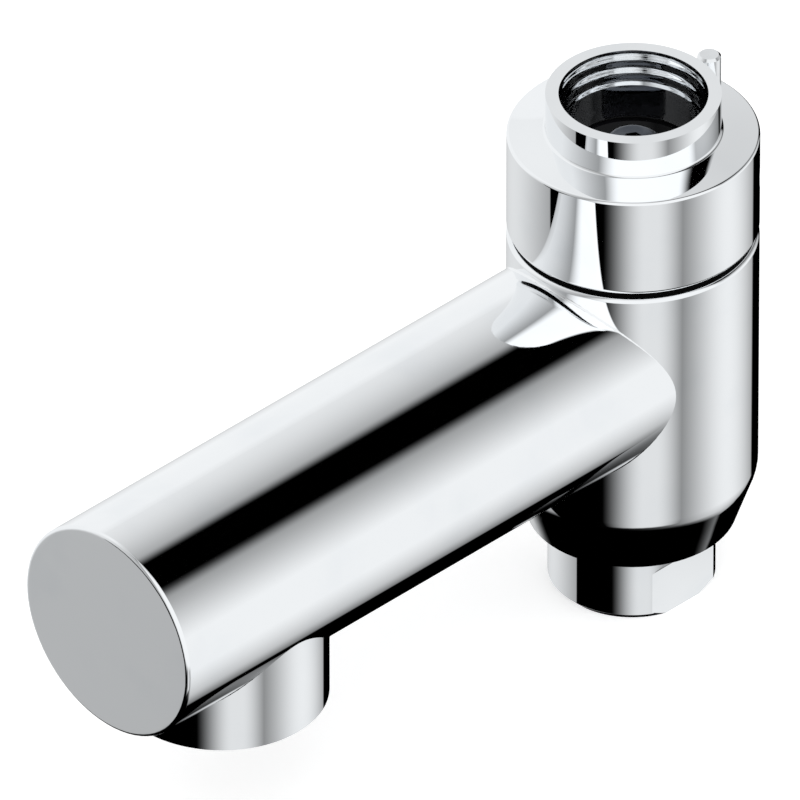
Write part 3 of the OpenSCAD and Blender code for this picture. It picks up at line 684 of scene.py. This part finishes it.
Z_AXIS = Lathe((0, 0, 0), (0, 0, 1))
SPOUT_AXIS = Lathe((0, 0, Z_SPOUT), (0, -1, 0))
OUTLET_AXIS = Lathe((0, OUTLET_Y, 0), (0, 0, 1))
PIN_AXIS = Lathe(((PIN[0].x + PIN[1].x) / 2, (PIN[0].y + PIN[1].y) / 2, 0), (0, 0, 1))
STOP_AXIS = Lathe((0, 0, (STOP[0].z + STOP[1].z) / 2), Vector((1, 1, 0)).normalized())
BODY_BEAD = Bead(SPOUT_R, BODY_R, (0, 0, Z_SPOUT), (0, -1, 0), (1, 0, 0))
OUTLET_BEAD = Bead(OUTLET_R, SPOUT_R, (0, OUTLET_Y, Z_SPOUT), (0, 0, -1), (1, 0, 0))

polished_copy("inlet_collar", "collar_polished", CHROME, [Z_AXIS, STOP_AXIS], change=shape_collar)
polished_copy("spout_body", "body_and_spout_polished", CHROME,
              [Z_AXIS, SPOUT_AXIS, OUTLET_AXIS], [BODY_BEAD, OUTLET_BEAD], change=raise_lip)
# The glide ring's near pure black is painted shade for the recess at the seam, on top of its own black
# plastic
polished_copy("glide_ring", "glide_ring_fitted", SHADE_BLACK_PLASTIC, [Z_AXIS],
              change=fit_glide_ring)
polished_copy("hose_connector", "connector_polished", CHROME, [Z_AXIS], change=shape_connector)
polished_copy("locating_pin", "pin_polished", BRIGHT_STEEL, [PIN_AXIS])
polished_copy("stop_screw", "stop_screw_polished", STEEL, [STOP_AXIS])
polished_copy("centre_screw", "centre_screw_polished", DARK_STEEL, [Z_AXIS])
polished_copy("aerator_housing", "aerator_housing_polished", CHROME, [OUTLET_AXIS])
polished_copy("check_valve_housing", "check_valve_moulded", WHITE_PLASTIC, [Z_AXIS])
polished_copy("check_poppet", "poppet_moulded", WHITE_PLASTIC, [Z_AXIS])
polished_copy("fixed_disc", "fixed_disc_lapped", CERAMIC, [Z_AXIS])

# The check valve's spring stands on its spider and gets a mesh of its own
spring = polished_copy("check_valve_spring", "spring_wound", STEEL, [])
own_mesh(spring)


# Studio

PLAIN_LIGHT = 0.8
COOL_TINT = (0.985, 1.0, 1.01)
OVERHEAD_SHINE = 0.72
FLOOR_COLOUR = (0.9, 0.9, 0.9, 1)
FLOOR_GLOW = 0.42
FLOOR_SIZE = 4.0
FLOOR_DROP = 0.02 * MM


class Sky:
    """Soft shapes on the sky that the metal mirrors, by turn round z and rise, both in degrees."""

    def __init__(self, tree):
        self.tree = tree
        parts = tree.nodes.new("ShaderNodeSeparateXYZ")
        tree.links.new(tree.nodes.new("ShaderNodeTexCoord").outputs["Generated"], parts.inputs[0])
        x, y, z = parts.outputs
        self.turn = math_node(tree, "MULTIPLY", math_node(tree, "ARCTAN2", y, x), 180 / math.pi)
        self.rise = math_node(tree, "MULTIPLY", math_node(tree, "ARCSINE", z), 180 / math.pi)

    def bell(self, value, centre, width, wrap=False):
        """1 at the centre, fading to both sides like a bell curve."""
        off = math_node(self.tree, "SUBTRACT", value, centre)
        off = math_node(self.tree, "PINGPONG", off, 180.0) if wrap else math_node(self.tree, "ABSOLUTE", off)
        share = math_node(self.tree, "DIVIDE", off, width)
        square = math_node(self.tree, "MULTIPLY", share, share)
        return math_node(self.tree, "EXPONENT", math_node(self.tree, "MULTIPLY", square, -0.5))

    def band(self, value, low, high, soft_low, soft_high, wrap=False):
        """1 between low and high, fading to 0 over soft_low below and soft_high above."""
        shifted = math_node(self.tree, "SUBTRACT", value, (low + high) / 2)
        if wrap:
            shifted = math_node(self.tree, "WRAP", shifted, 180.0, -180.0)
        half = (high - low) / 2
        left = remap(self.tree, shifted, -half - soft_low, -half, 0.0, 1.0, smooth=True)
        right = remap(self.tree, shifted, half, half + soft_high, 1.0, 0.0, smooth=True)
        return math_node(self.tree, "MULTIPLY", left, right)

    def panel(self, *shapes, level=1.0):
        """A panel where all the shapes overlap, at a level of brightness."""
        total = shapes[0]
        for shape in shapes[1:] + (level,):
            total = math_node(self.tree, "MULTIPLY", total, shape)
        return total


def mirrored_panels(tree, second_bounce):
    """How bright the metal sees each direction: five soft panels with dark gaps between them."""
    sky = Sky(tree)
    turn, rise = sky.turn, sky.rise

    # The side edges of the right and the upper panel lean
    below = math_node(tree, "MAXIMUM", math_node(tree, "SUBTRACT", -35.0, rise), 0.0)
    leaning_low = math_node(tree, "MULTIPLY_ADD", below, 0.9, turn)
    leaning_high = math_node(tree, "MULTIPLY_ADD", math_node(tree, "SUBTRACT", rise, 35.0), 0.6, turn)

    right_panel = sky.panel(
        sky.bell(turn, centre=52.0, width=34.0, wrap=True),
        sky.bell(rise, centre=-13.0, width=32.0),
        sky.band(leaning_low, low=-59.0, high=94.0, soft_low=20.0, soft_high=4.0, wrap=True),
        sky.band(rise, low=-49.0, high=34.0, soft_low=11.0, soft_high=9.0), level=1.22)
    front_panel = sky.panel(
        sky.band(turn, low=-34.0, high=-24.0, soft_low=39.0, soft_high=42.0, wrap=True),
        sky.band(rise, low=-46.0, high=60.0, soft_low=5.0, soft_high=8.0), level=0.85)
    left_panel = sky.panel(
        sky.bell(turn, centre=177.0, width=49.0, wrap=True),
        sky.bell(rise, centre=12.0, width=47.0),
        sky.band(turn, low=134.0, high=232.5, soft_low=3.0, soft_high=1.5, wrap=True),
        sky.band(rise, low=-43.0, high=30.0, soft_low=9.0, soft_high=9.0), level=1.35)
    upper_panel = sky.panel(
        sky.bell(turn, centre=182.0, width=63.0, wrap=True),
        sky.band(rise, low=3.0, high=90.0, soft_low=16.0, soft_high=1.0),
        sky.band(leaning_high, low=110.0, high=285.0, soft_low=16.0, soft_high=10.0, wrap=True), level=1.13)
    top_card = sky.panel(
        sky.band(turn, low=-65.0, high=27.0, soft_low=38.0, soft_high=25.0, wrap=True),
        sky.band(rise, low=-22.0, high=90.0, soft_low=13.0, soft_high=1.0))

    # Metal that is itself seen in metal mirrors the top card brighter
    card_level = math_node(tree, "MULTIPLY_ADD", second_bounce, 0.25, 1.05)
    top_card = math_node(tree, "MULTIPLY", top_card, card_level)
    shine = right_panel
    for card in (front_panel, left_panel, upper_panel):
        shine = math_node(tree, "MAXIMUM", shine, card)
    shine = math_node(tree, "MAXIMUM", math_node(tree, "MINIMUM", shine, 1.0), top_card)

    # Towards straight overhead the panels dim and run together
    dimming = remap(tree, rise, 58.0, 76.0, 1.0, OVERHEAD_SHINE, smooth=True)
    shine = math_node(tree, "MULTIPLY", shine, dimming)
    overhead = remap(tree, rise, 80.0, 86.0, smooth=True)
    to_overhead = math_node(tree, "SUBTRACT", OVERHEAD_SHINE, shine)
    return math_node(tree, "MULTIPLY_ADD", to_overhead, overhead, shine)


def studio_world():
    """White to the camera; soft panels and dark gaps to the metal; plain light to everything else."""
    world = bpy.data.worlds.new("studio")
    bpy.context.scene.world = world
    world.use_nodes = True
    tree = world.node_tree
    tree.nodes.clear()
    path = tree.nodes.new("ShaderNodeLightPath").outputs
    second_bounce = math_node(tree, "SUBTRACT", path["Glossy Depth"], 1.0, clamp=True)
    shine = mirrored_panels(tree, second_bounce)
    tinted = tree.nodes.new("ShaderNodeCombineColor")
    for socket, tint in zip(tinted.inputs, COOL_TINT):
        tree.links.new(math_node(tree, "MULTIPLY", shine, tint), socket)
    reflected = tree.nodes.new("ShaderNodeBackground")
    tree.links.new(tinted.outputs[0], reflected.inputs["Color"])
    plain = tree.nodes.new("ShaderNodeBackground")
    plain.inputs["Color"].default_value = (1, 1, 1, 1)
    level = math_node(tree, "MULTIPLY_ADD", path["Is Camera Ray"], 1 - PLAIN_LIGHT, PLAIN_LIGHT)
    tree.links.new(level, plain.inputs["Strength"])
    out = tree.nodes.new("ShaderNodeOutputWorld")
    mixed_shader(tree, path["Is Glossy Ray"], plain, reflected, out.inputs["Surface"])


def floor_material():
    """White to the camera where no shadow falls, and clear from below."""
    material = bpy.data.materials.new("pale_floor")
    material.use_nodes = True
    tree = material.node_tree
    tree.nodes.clear()
    matt = tree.nodes.new("ShaderNodeBsdfDiffuse")
    matt.inputs["Color"].default_value = FLOOR_COLOUR
    glow = tree.nodes.new("ShaderNodeEmission")
    path = tree.nodes.new("ShaderNodeLightPath").outputs
    tree.links.new(math_node(tree, "MULTIPLY", path["Is Camera Ray"], FLOOR_GLOW), glow.inputs["Strength"])
    from_above = tree.nodes.new("ShaderNodeAddShader")
    tree.links.new(matt.outputs[0], from_above.inputs[0])
    tree.links.new(glow.outputs[0], from_above.inputs[1])
    from_below = tree.nodes.new("ShaderNodeBsdfTransparent")
    facing = tree.nodes.new("ShaderNodeNewGeometry").outputs
    out = tree.nodes.new("ShaderNodeOutputMaterial")
    mixed_shader(tree, facing["Backfacing"], from_above, from_below, out.inputs["Surface"])
    return material


def studio_floor():
    """A pale sheet just under the part, which takes its shadow and isn't mirrored."""
    bm = bmesh.new()
    bmesh.ops.create_grid(bm, x_segments=1, y_segments=1, size=FLOOR_SIZE)
    bmesh.ops.translate(bm, verts=bm.verts, vec=(0, 0, Z_FLOOR - FLOOR_DROP))
    mesh = bpy.data.meshes.new("floor")
    bm.to_mesh(mesh)
    bm.free()
    mesh.materials.append(floor_material())
    floor = bpy.data.objects.new("floor", mesh)
    bpy.context.scene.collection.objects.link(floor)
    floor.visible_glossy = False


def studio_lamp():
    """A broad soft lamp from above, which isn't mirrored."""
    light = bpy.data.lights.new("soft_sun", "SUN")
    light.energy = 0.8
    light.angle = math.radians(40)
    lamp = bpy.data.objects.new("soft_sun", light)
    lamp.rotation_euler = (math.radians(38), math.radians(12), math.radians(20))
    lamp.visible_glossy = False
    bpy.context.scene.collection.objects.link(lamp)


def isometric_camera():
    """A very long lens, which comes close to the photograph's parallel projection."""
    data = bpy.data.cameras.new("camera")
    data.lens = 1690.0
    data.sensor_width = 36.0
    data.clip_start, data.clip_end = 0.1, 20.0
    camera = bpy.data.objects.new("camera", data)
    bpy.context.scene.collection.objects.link(camera)
    back = Vector((1, -1, 1)).normalized()
    seen_width = 131.8 * MM
    aim = Vector((-0.2 * MM, -54.3 * MM, -35.0 * MM))
    camera.location = aim + back * (seen_width / data.sensor_width * data.lens)
    camera.rotation_euler = (-back).to_track_quat("-Z", "Y").to_euler()
    bpy.context.scene.camera = camera


studio_world()
studio_floor()
studio_lamp()
isometric_camera()

bpy.context.scene.view_settings.view_transform = "Standard"
